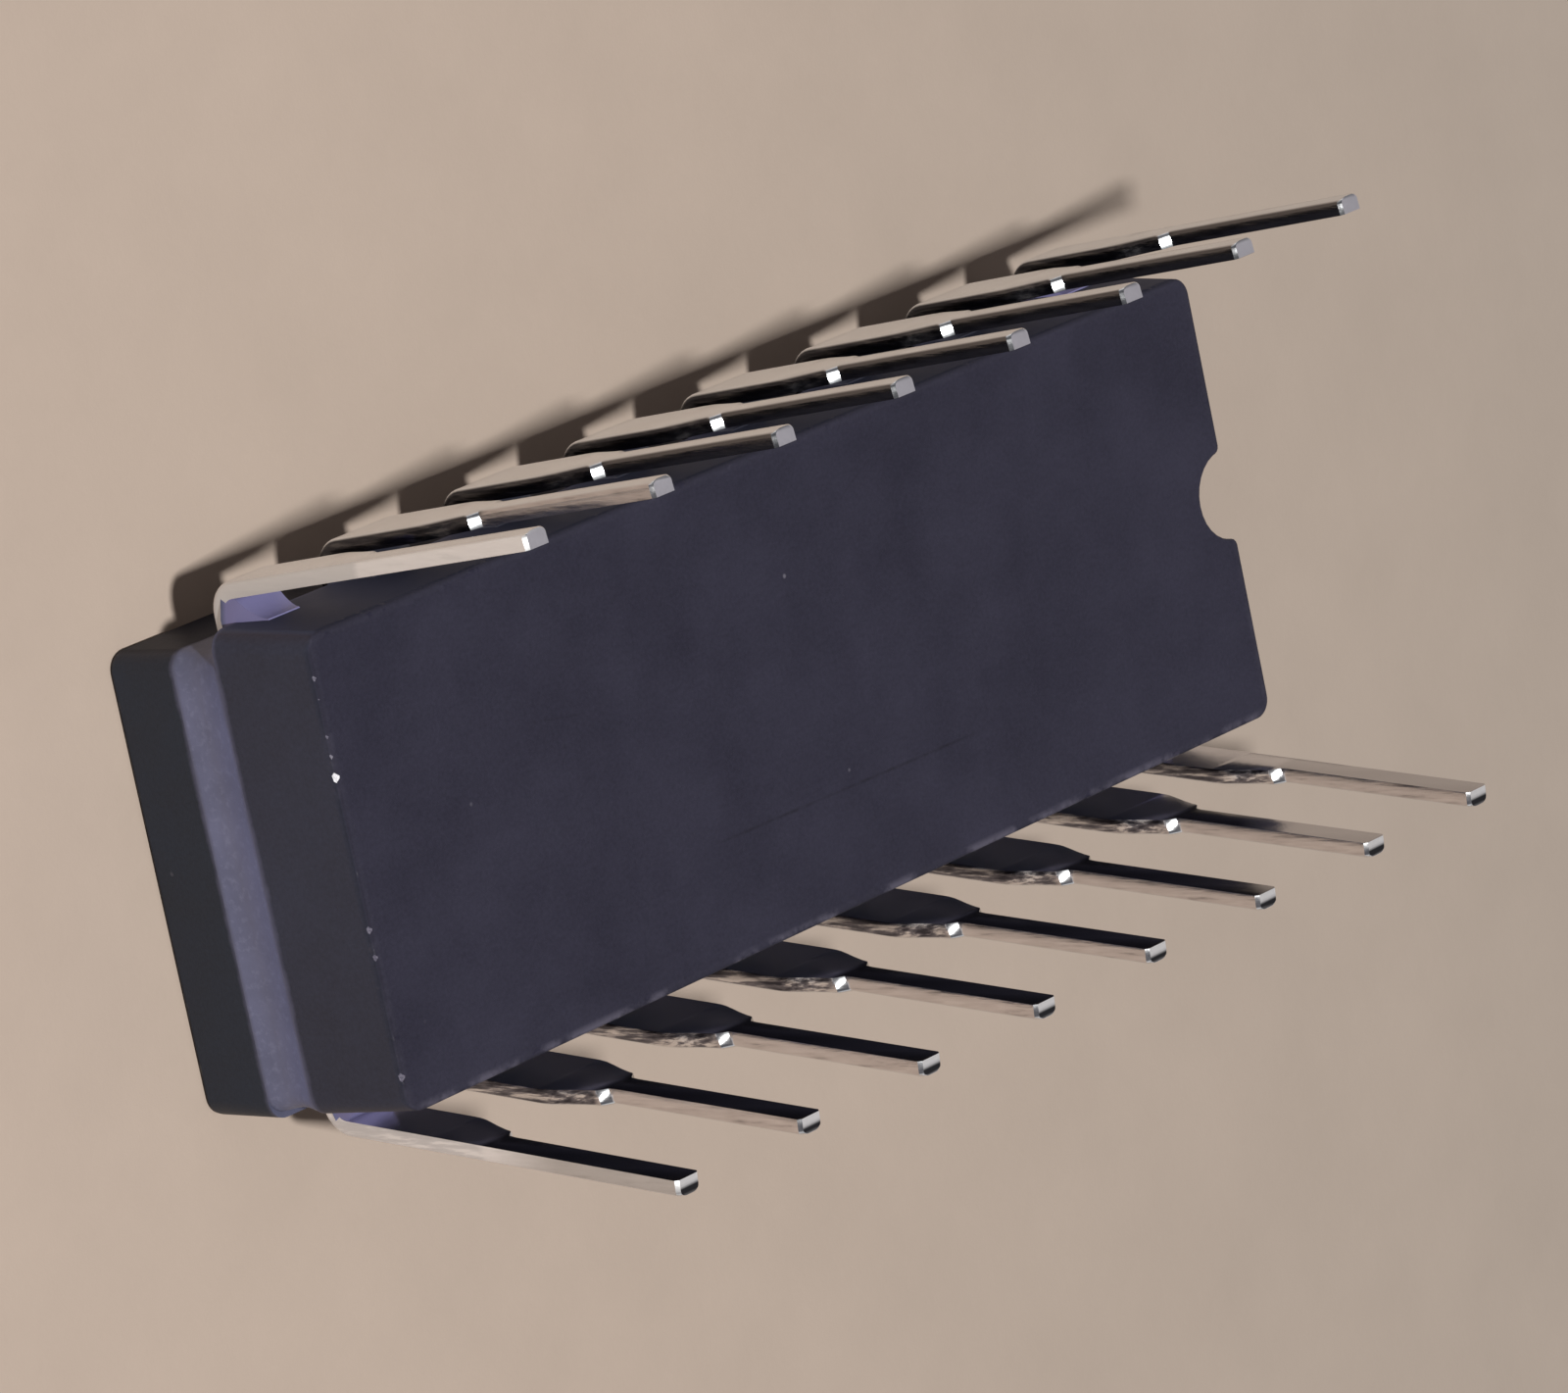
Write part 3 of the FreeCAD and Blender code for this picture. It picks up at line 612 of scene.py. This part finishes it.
def formed_pin(slot, row):
    """One pin as a strip drawn out from section to section, with its edges rounded."""
    x = row_place(slot)
    low, high = pin_edges(slot)
    number = pins_per_row - slot if row < 0 else pins_per_row + 1 + slot
    pin_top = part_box("pin_%02d" % number)[1].z
    chance = random.Random(number)
    lean = Vector((chance.uniform(-lean_along, lean_along),
                   chance.uniform(-lean_across, 0.0), 0)) * MM
    reach = pin_top - base_face - lead_thickness / 2 * math.sin(leg_splay)
    sections = finger_sections(x)
    sections += [Matrix.Translation((x, 0, 0)) @ s
                 for s in leg_sections(low, high, reach, lean,
                                       shoulder_drop_far if row > 0 else 0,
                                       skew_far if row > 0 else skew_near)]
    mesh = bmesh.new()
    bmesh.ops.create_grid(mesh, x_segments=1, y_segments=1, size=0.5, matrix=sections[0])
    face = list(mesh.faces)[0]
    for before, after in zip(sections, sections[1:]):
        made = bmesh.ops.extrude_face_region(mesh, geom=[face])["geom"]
        ends = [g for g in made if isinstance(g, bmesh.types.BMVert)]
        if before is not sections[0]:
            mesh.faces.remove(face)
        bmesh.ops.transform(mesh, matrix=after @ before.inverted(), verts=ends)
        face = [g for g in made if isinstance(g, bmesh.types.BMFace)][0]
    bmesh.ops.recalc_face_normals(mesh, faces=mesh.faces[:])
    rails = [e for e in mesh.edges if any(f.normal.y - f.normal.z > 0.8 for f in e.link_faces)
             and any(abs(f.normal.x) > 0.5 for f in e.link_faces)]
    bmesh.ops.bevel(mesh, geom=rails, offset=rolled_edge, offset_type="OFFSET", segments=5,
                    profile=0.5, affect="EDGES", clamp_overlap=False, material=-1)
    rails = [e for e in mesh.edges if e.is_manifold and e.calc_face_angle() > math.radians(60)]
    bmesh.ops.bevel(mesh, geom=rails, offset=stamped_edge, offset_type="OFFSET", segments=2,
                    profile=0.5, affect="EDGES", clamp_overlap=True, material=-1)
    bmesh.ops.scale(mesh, verts=mesh.verts[:], vec=(1, row, 1))
    bmesh.ops.translate(mesh, verts=mesh.verts[:], vec=(0, frame_shift, 0))
    bmesh.ops.recalc_face_normals(mesh, faces=mesh.faces[:])
    return finished(mesh, "formed_pin_%02d" % number, pin_sharp_angle), number


# Plating. It is bright on the rolled faces, torn on the sheared sides and burred up to the
# shoulder. Painted dark reflections lie inside the legs that the base shades and on the +Y row's
# sides; the end pins' sheared sides are painted light, and the cut tips painted shaded or lit by
# row.
worn_dark, worn_light = (0.80, 0.825, 0.85), (0.91, 0.94, 0.97)
# Painted dark reflection for the legs' inner faces, and the unshaded tones beside it
leg_painted_dark_reflection, leg_unshaded, root_unshaded = (0.05, 0.048, 0.05), (0.58, 0.57, 0.58), (0.72, 0.71, 0.73)
# Painted dark reflection for the +Y row's sheared sides
far_side_painted_dark_reflection = (0.04, 0.04, 0.045)
# Painted light for the end pins' sheared sides
end_root_painted_light, end_leg_painted_light, far_end_side_painted_light = (0.99, 0.97, 0.96), (0.60, 0.57, 0.54), (0.99, 0.98, 0.97)
# Painted shade and painted light for the cut tips, with a bright burr
tip_shade, tip_burr, far_tip_painted_light = (0.045, 0.044, 0.050), (0.96, 0.94, 0.94), (0.66, 0.64, 0.69)

plating, tree, shader = new_material("bright_plating")
place = object_millimetres(tree)
x, y, z = [axis_value(tree, place, axis) for axis in "XYZ"]
facing = node(tree, "ShaderNodeTexCoord").outputs["Normal"]
along_row = between(tree, x, -10.0, 10.0)
across_body = between(tree, y, -5.0, 5.0)
height = between(tree, z, 0.0, 10.0)
far_row = grey_ramp(tree, across_body, (0.45, 0.0), (0.55, 1.0))
end_pin = grey_ramp(tree, along_row, (0.08, 1.0), (0.12, 0.0))
under_shoulder = grey_ramp(tree, height, (0.472, 1.0), (0.486, 0.0))
cut_tip = grey_ramp(tree, axis_value(tree, facing, "Z"), (0.92, 0.0), (0.98, 1.0))
sheared = worked(tree, "MAXIMUM", grey_ramp(
    tree, worked(tree, "ABSOLUTE", axis_value(tree, facing, "X")), (0.55, 0.0), (0.85, 1.0)),
    cut_tip)
inwards = worked(tree, "SUBTRACT", 1.0, worked(tree, "MULTIPLY", far_row, 2.0))
inner_face = grey_ramp(tree, worked(tree, "MULTIPLY", axis_value(tree, facing, "Y"), inwards),
                       (0.6, 0.0), (0.85, 1.0))
torn = noise_field(tree, object_millimetres(tree, stretch=(1.4, 1.4, 0.16)), 9.0, 4.0, 0.6)
tarnish = noise_field(tree, place, 1.7, 5.0, 0.65)

towards_notch = worked(tree, "ADD", z, worked(tree, "MULTIPLY", x, 0.9))
unshaded = grey_ramp(tree, between(tree, towards_notch, -12.0, 28.0),
                     (0.59, 0.0), (0.61, 1.0))
# Painted dark reflection: the inner faces of the legs that the base shades are painted near
# black.
inner_tone = mixed(tree, unshaded, leg_painted_dark_reflection, leg_unshaded)
inner_tone = mixed(tree, under_shoulder, inner_tone, root_unshaded)
flat_tone = ramp(tree, tarnish, (0.35, worn_dark), (0.65, worn_light))
flat_tone = mixed(tree, inner_face, flat_tone, inner_tone)

torn_tone = ramp(tree, torn, (0.30, (0.44, 0.42, 0.42)), (0.42, (0.68, 0.65, 0.65)),
                 (0.66, (0.82, 0.79, 0.79)))
burred_tone = ramp(tree, torn, (0.36, (0.06, 0.058, 0.07)), (0.50, (0.21, 0.205, 0.23)),
                   (0.62, (0.82, 0.80, 0.79)))
torn_tone = mixed(tree, under_shoulder, torn_tone, burred_tone)
# Painted dark reflection on the +Y row's sheared sides, past the end pins.
far_side_painted_dark_amount = mixed(tree, under_shoulder, grey_ramp(tree, along_row, (0.20, 0.15), (0.28, 0.84)),
                (0.90, 0.90, 0.90))
torn_tone = mixed(tree, worked(tree, "MULTIPLY", far_row, far_side_painted_dark_amount), torn_tone, far_side_painted_dark_reflection)
# Painted light on the end pins' sheared sides, which face the lit paper and the lamp.
end_painted_light = ramp(tree, height, (0.50, end_root_painted_light), (0.62, end_leg_painted_light))
end_painted_light = mixed(tree, far_row, end_painted_light, far_end_side_painted_light)
torn_tone = mixed(tree, worked(tree, "MULTIPLY", end_pin, 0.75), torn_tone, end_painted_light)

# Painted shade on the near row's cut tips with a bright burr at their edge; the far row's tips
# are painted lighter.
burred_tip = ramp(tree, across_body, (0.0440, tip_shade), (0.0475, tip_burr))
tip_tone = mixed(tree, far_row, burred_tip, far_tip_painted_light)
tree.links.new(mixed(tree, cut_tip, mixed(tree, sheared, flat_tone, torn_tone), tip_tone),
               shader.inputs["Base Color"])
shader.inputs["Metallic"].default_value = 1.0
flat_rough = grey_ramp(tree, tarnish, (0.35, 0.16), (0.70, 0.26))
torn_rough = grey_ramp(tree, torn, (0.35, 0.15), (0.65, 0.24))
torn_rough = mixed(tree, end_pin, torn_rough, (0.70, 0.70, 0.70))
tree.links.new(mixed(tree, cut_tip, mixed(tree, sheared, flat_rough, torn_rough),
                     (0.66, 0.66, 0.66)), shader.inputs["Roughness"])
rolled = grey_ramp(tree, noise_field(tree, place, 12.0), (0.3, 0.45), (0.7, 0.55))
bumped(tree, shader, mixed(tree, sheared, rolled, torn), 0.010 * MM, 0.5)

for row in (-1, 1):
    for slot in range(pins_per_row):
        pin, number = formed_pin(slot, row)
        pin.data.materials.append(plating)
        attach(pin, "root")
        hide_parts("pin_%02d" % number)


# Sealing glass. It was screened on both halves as a paste and melted together round the pins,
# so its edge is drawn in between the halves and it creeps up beside each pin.
seal_hollow = 0.07 * MM
seal_width = (body_width + lid_width) / 2 - abs(lid_shift)
seal_shift = (seal_width - body_width) / 2
seal_steps = 6
seal_cuts = 24
creep_size = 1.3 * MM
creep_depth = 0.020 * MM
creep_to_sides = 2.6
glass_sharp_angle = 60.0
fillet_side = 0.08 * MM
fillet_reach = 0.28 * MM
fillet_rise = 0.50 * MM
fillet_steps = 10
fillet_curve = 1.8


def draw_fillet(mesh, slot, row):
    """Glass drawn up between the base's side and one pin, thinner and narrower upwards."""
    low, high = pin_edges(slot)
    wide = low + high + 2 * fillet_side
    foot = lead_height + lead_thickness / 2
    inner = body_width / 2 - root_in_glass / 2
    wall = body_width / 2 - inner
    least = wall - frame_shift
    height = seal_top + fillet_rise - foot
    middle = row_place(slot) + (high - low) / 2
    pivot = Vector((middle, row * inner + frame_shift, foot))
    grid = bmesh.ops.create_grid(
        mesh, x_segments=1, y_segments=1, size=0.5,
        matrix=Matrix.Translation(pivot + Vector((0, row * wall / 2, 0)))
        @ Matrix.Diagonal((wide, wall, 1, 1)))["verts"]
    faces = [grid[0].link_faces[0]]
    edge = [e for e in faces[0].edges
            if all(row * (v.co.y - pivot.y) > wall / 2 for v in e.verts)]
    grown = bmesh.ops.extrude_edge_only(mesh, edges=edge)["geom"]
    rim = [g for g in grown if isinstance(g, bmesh.types.BMVert)]
    faces += [g for g in grown if isinstance(g, bmesh.types.BMFace)]
    bmesh.ops.translate(mesh, verts=rim, vec=(0, row * fillet_reach, 0))
    bmesh.ops.scale(mesh, verts=rim, vec=((low + high) / wide, 1, 1),
                    space=Matrix.Translation((-row_place(slot) - (high - low) / 2, 0, 0)))
    for step in range(fillet_steps):
        made = bmesh.ops.extrude_face_region(mesh, geom=faces)["geom"]
        if step:
            bmesh.ops.delete(mesh, geom=faces, context="FACES")
        ring = [g for g in made if isinstance(g, bmesh.types.BMVert)]
        faces = [g for g in made if isinstance(g, bmesh.types.BMFace)]
        widths = []
        depths = []
        for share in (step / fillet_steps, (step + 1) / fillet_steps):
            widths.append(wide - 4 * fillet_side * share)
            over_seal = max(0, 1 - (1 - share) * height / fillet_rise)
            depths.append(least + (wall + fillet_reach - least) * (1 - over_seal) ** fillet_curve)
        bmesh.ops.translate(mesh, verts=ring, vec=(0, 0, height / fillet_steps))
        bmesh.ops.scale(mesh, verts=ring, space=Matrix.Translation(-pivot),
                        vec=(widths[1] / widths[0], depths[1] / depths[0], 1))


glass_mesh = bmesh.new()
half_outline(glass_mesh, body_length, seal_width, lid_seal)
bmesh.ops.subdivide_edges(glass_mesh, edges=[e for e in glass_mesh.edges
                                             if e.calc_length() > 2 * MM],
                          cuts=seal_cuts)
for step in range(seal_steps):
    here = (step + 1) / seal_steps
    before = step / seal_steps
    rise = (seal_top - lid_seal) / seal_steps
    ring = raised(glass_mesh, flat_faces(glass_mesh, lid_seal + rise * step), (0, 0, rise))
    drawn = [seal_hollow * math.sin(math.pi * share) for share in (before, here)]
    bmesh.ops.scale(glass_mesh, verts=ring,
                    vec=((body_length / 2 - drawn[1]) / (body_length / 2 - drawn[0]),
                         (seal_width / 2 - drawn[1]) / (seal_width / 2 - drawn[0]), 1))
    if step:
        inner = [f for f in flat_faces(glass_mesh, lid_seal + rise * step) if len(f.verts) > 8]
        bmesh.ops.delete(glass_mesh, geom=inner, context="FACES_ONLY")
bmesh.ops.translate(glass_mesh, verts=glass_mesh.verts[:], vec=(0, seal_shift, 0))
for vert in glass_mesh.verts:
    if lid_seal + 1e-6 < vert.co.z < seal_top - 1e-6:
        creep = noise.noise(vert.co / creep_size) * creep_depth
        vert.co += Vector((vert.co.x, vert.co.y * creep_to_sides, 0)).normalized() * creep
for row in (-1, 1):
    for slot in range(pins_per_row):
        draw_fillet(glass_mesh, slot, row)
bmesh.ops.recalc_face_normals(glass_mesh, faces=glass_mesh.faces[:])
glass = finished(glass_mesh, "sealing_glass_layer", glass_sharp_angle)

glass_dark, glass_light = (0.092, 0.100, 0.170), (0.130, 0.140, 0.235)
bubbled_glass = (0.21, 0.22, 0.33)
glass_edge = (0.045, 0.042, 0.058)
glass_dust = (0.42, 0.42, 0.52)
shaded_glass = (0.030, 0.031, 0.046)
# Painted shade for the glass fillets between the pins
fillet_painted_shade = (0.018, 0.018, 0.026)
# Glass colour brightened by a painted reflection for the fillets at the end pins, darker where
# they turn to the end
end_fillet_painted_sheen, end_fillet_painted_sheen_turned = (0.21, 0.20, 0.38), (0.145, 0.138, 0.275)

glass_look, tree, shader = new_material("sealing_glass")
place = object_millimetres(tree)
cloud = noise_field(tree, place, 0.9, 4.0, 0.6)
grain = noise_field(tree, place, 9.0, 3.0, 0.6)
tone = ramp(tree, cloud, (0.32, glass_dark), (0.68, glass_light))
bubbles = grey_ramp(tree, grain, (0.52, 0.0), (0.70, 1.0))
tone = mixed(tree, worked(tree, "MULTIPLY", bubbles, 0.35), tone, bubbled_glass)
# Half the share of the seal's depth: 0.5 is its top, and the fillets stand above that
half_depth = between(tree, axis_value(tree, place, "Z"), lid_seal / MM,
                   (2 * seal_top - lid_seal) / MM)
tone = mixed(tree, grey_ramp(tree, half_depth, (0.0, 0.5), (0.03, 0.0), (0.46, 0.0), (0.50, 0.5),
                             (0.53, 0.0)), tone, glass_edge)
tone = mixed(tree, worked(tree, "MULTIPLY", dust(tree, place, 1.5, (0.035, 0.075),
                                                 (1.1, 0.50, 0.56)), 0.6), tone, glass_dust)
from_middle = worked(tree, "ABSOLUTE", axis_value(tree, place, "X"))
at_ends = grey_ramp(tree, between(tree, from_middle, 0.0, body_length / 2 / MM),
                    (0.80, 0.0), (0.84, 1.0), (0.955, 1.0), (0.970, 0.0))
# Where the glass fillets at the end pins carry a painted reflection.
drawn_up_painted_sheen = worked(tree, "MULTIPLY", at_ends,
                  grey_ramp(tree, half_depth, (0.38, 0.0), (0.42, 1.0)))
# Painted correction of light: the upper half of the hollow is tinted bluer against the warm
# reflection of the lit paper.
tone = mixed(tree, 1.0, tone, ramp(tree, half_depth, (0.22, (1.0, 1.0, 1.0)),
                                   (0.42, (1.02, 1.12, 1.34))), "MULTIPLY")
far_side = grey_ramp(tree, between(tree, axis_value(tree, place, "Y"), -5.0, 5.0),
                     (0.77, 0.0), (0.85, 0.5))
tone = mixed(tree, far_side, tone, shaded_glass)
# Painted shade on the glass fillets that stand above the seal between the pins.
tone = mixed(tree, grey_ramp(tree, half_depth, (0.50, 0.0), (0.54, 0.9)), tone, fillet_painted_shade)
facing = node(tree, "ShaderNodeTexCoord").outputs["Normal"]
towards_end = worked(tree, "MULTIPLY", axis_value(tree, facing, "X"), -1.0)
# The end fillets are glass with a painted violet reflection, darker on faces turned to the plain
# end.
tone = mixed(tree, drawn_up_painted_sheen, tone, ramp(tree, towards_end, (0.15, end_fillet_painted_sheen),
                                        (0.60, end_fillet_painted_sheen_turned)))
tree.links.new(tone, shader.inputs["Base Color"])
tree.links.new(mixed(tree, drawn_up_painted_sheen, grey_ramp(tree, grain, (0.3, 0.46), (0.7, 0.60)),
                     (0.45, 0.45, 0.45)), shader.inputs["Roughness"])
shader.inputs["IOR"].default_value = 1.55
bumped(tree, shader, grain, 0.010 * MM, 0.4)
glass.data.materials.append(glass_look)
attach(glass, "root")
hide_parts("glass_seal")


# Inside. The silicon chip, the layer that holds it and the sixteen aluminium wires keep the
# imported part's shapes, closed in under the glass, and get their finishes here.
def plain_finish(name, dark, light, metallic, rough, scale):
    """Finish with a soft change of tone and gloss."""
    material, tree, shader = new_material(name)
    place = object_millimetres(tree)
    cloud = noise_field(tree, place, scale, 4.0)
    tree.links.new(ramp(tree, cloud, (0.35, dark), (0.65, light)), shader.inputs["Base Color"])
    shader.inputs["Metallic"].default_value = metallic
    tree.links.new(grey_ramp(tree, cloud, (0.3, rough * 0.8), (0.7, rough * 1.2)),
                   shader.inputs["Roughness"])
    return material


inner_finishes = {
    "die": plain_finish("silicon", (0.09, 0.10, 0.14), (0.16, 0.18, 0.24), 0.4, 0.18, 6.0),
    "die_attach": plain_finish("attach_layer", (0.50, 0.38, 0.18), (0.66, 0.52, 0.26), 1.0,
                               0.38, 5.0),
}
wire_finish = plain_finish("bond_aluminium", (0.72, 0.73, 0.75), (0.82, 0.83, 0.85), 1.0, 0.28,
                           20.0)
for number in range(1, 2 * pins_per_row + 1):
    inner_finishes["bond_wire_%02d" % number] = wire_finish
for name, finish in inner_finishes.items():
    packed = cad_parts[name]
    packed.data.materials.clear()
    packed.data.materials.append(finish)


# Floor. A sheet of plain beige paper, a little paler to one side, with a faint mottle. The
# chip's lid rests on it. It is the stage and no part of the chip.
floor_mesh = bmesh.new()
bmesh.ops.create_grid(floor_mesh, x_segments=1, y_segments=1, size=1.5)
floor_data = bpy.data.meshes.new("paper_floor")
floor_mesh.to_mesh(floor_data)
floor_mesh.free()
floor = bpy.data.objects.new("paper_floor", floor_data)
bpy.context.collection.objects.link(floor)
paper, tree, shader = new_material("beige_paper")
place = object_millimetres(tree)
across = worked(tree, "ADD", worked(tree, "MULTIPLY", axis_value(tree, place, "X"), 0.66),
                worked(tree, "MULTIPLY", axis_value(tree, place, "Y"), -0.20))
side_tone = ramp(tree, between(tree, across, -16.0, 16.0), (0.0, (0.525, 0.428, 0.360)),
                 (0.5, (0.480, 0.394, 0.332)), (1.0, (0.415, 0.352, 0.303)))
mottle = noise_field(tree, place, 0.35, 6.0, 0.6)
tree.links.new(mixed(tree, 0.5, side_tone,
                     ramp(tree, mottle, (0.30, (0.47, 0.47, 0.47)), (0.70, (0.53, 0.53, 0.53))),
                     "OVERLAY"), shader.inputs["Base Color"])
shader.inputs["Roughness"].default_value = 0.85
shader.inputs["Specular IOR Level"].default_value = 0.15
bumped(tree, shader, noise_field(tree, place, 2.5, 6.0, 0.7), 0.03 * MM, 0.25)
floor.data.materials.append(paper)


# Light. One soft lamp high on the plain end's side, as in the photograph, and a dim even
# surround, which camera and reflections see as a pale wall under a dark ceiling.
lamp_way = Vector((-0.44, 0.08, 0.89)).normalized()
lamp_distance = 0.60
lamp = bpy.data.objects.new("key_lamp", bpy.data.lights.new("key_lamp", "AREA"))
lamp.data.size = 0.030
lamp.data.energy = 3.5
lamp.data.color = (1.0, 0.985, 0.96)
lamp.location = lamp_way * lamp_distance
lamp.rotation_mode = "QUATERNION"
lamp.rotation_quaternion = lamp_way.to_track_quat("Z", "Y")
bpy.context.collection.objects.link(lamp)

world = bpy.data.worlds.new("surround")
bpy.context.scene.world = world
world.use_nodes = True
tree = world.node_tree
background = tree.nodes["Background"]
path = node(tree, "ShaderNodeLightPath")
seen = worked(tree, "MAXIMUM", path.outputs["Is Camera Ray"],
              worked(tree, "MAXIMUM", path.outputs["Is Glossy Ray"],
                     path.outputs["Is Transmission Ray"]))
upwards = axis_value(tree, node(tree, "ShaderNodeTexCoord").outputs["Generated"], "Z")
surround_light = (0.142, 0.127, 0.124)
room = ramp(tree, upwards, (0.0, (0.74, 0.72, 0.71)), (0.17, (0.60, 0.58, 0.58)),
            (0.45, (0.10, 0.10, 0.11)), (1.0, (0.07, 0.07, 0.08)))
tree.links.new(mixed(tree, seen, surround_light, room), background.inputs["Color"])
background.inputs["Strength"].default_value = 1.0

bpy.context.scene.view_settings.view_transform = "Standard"
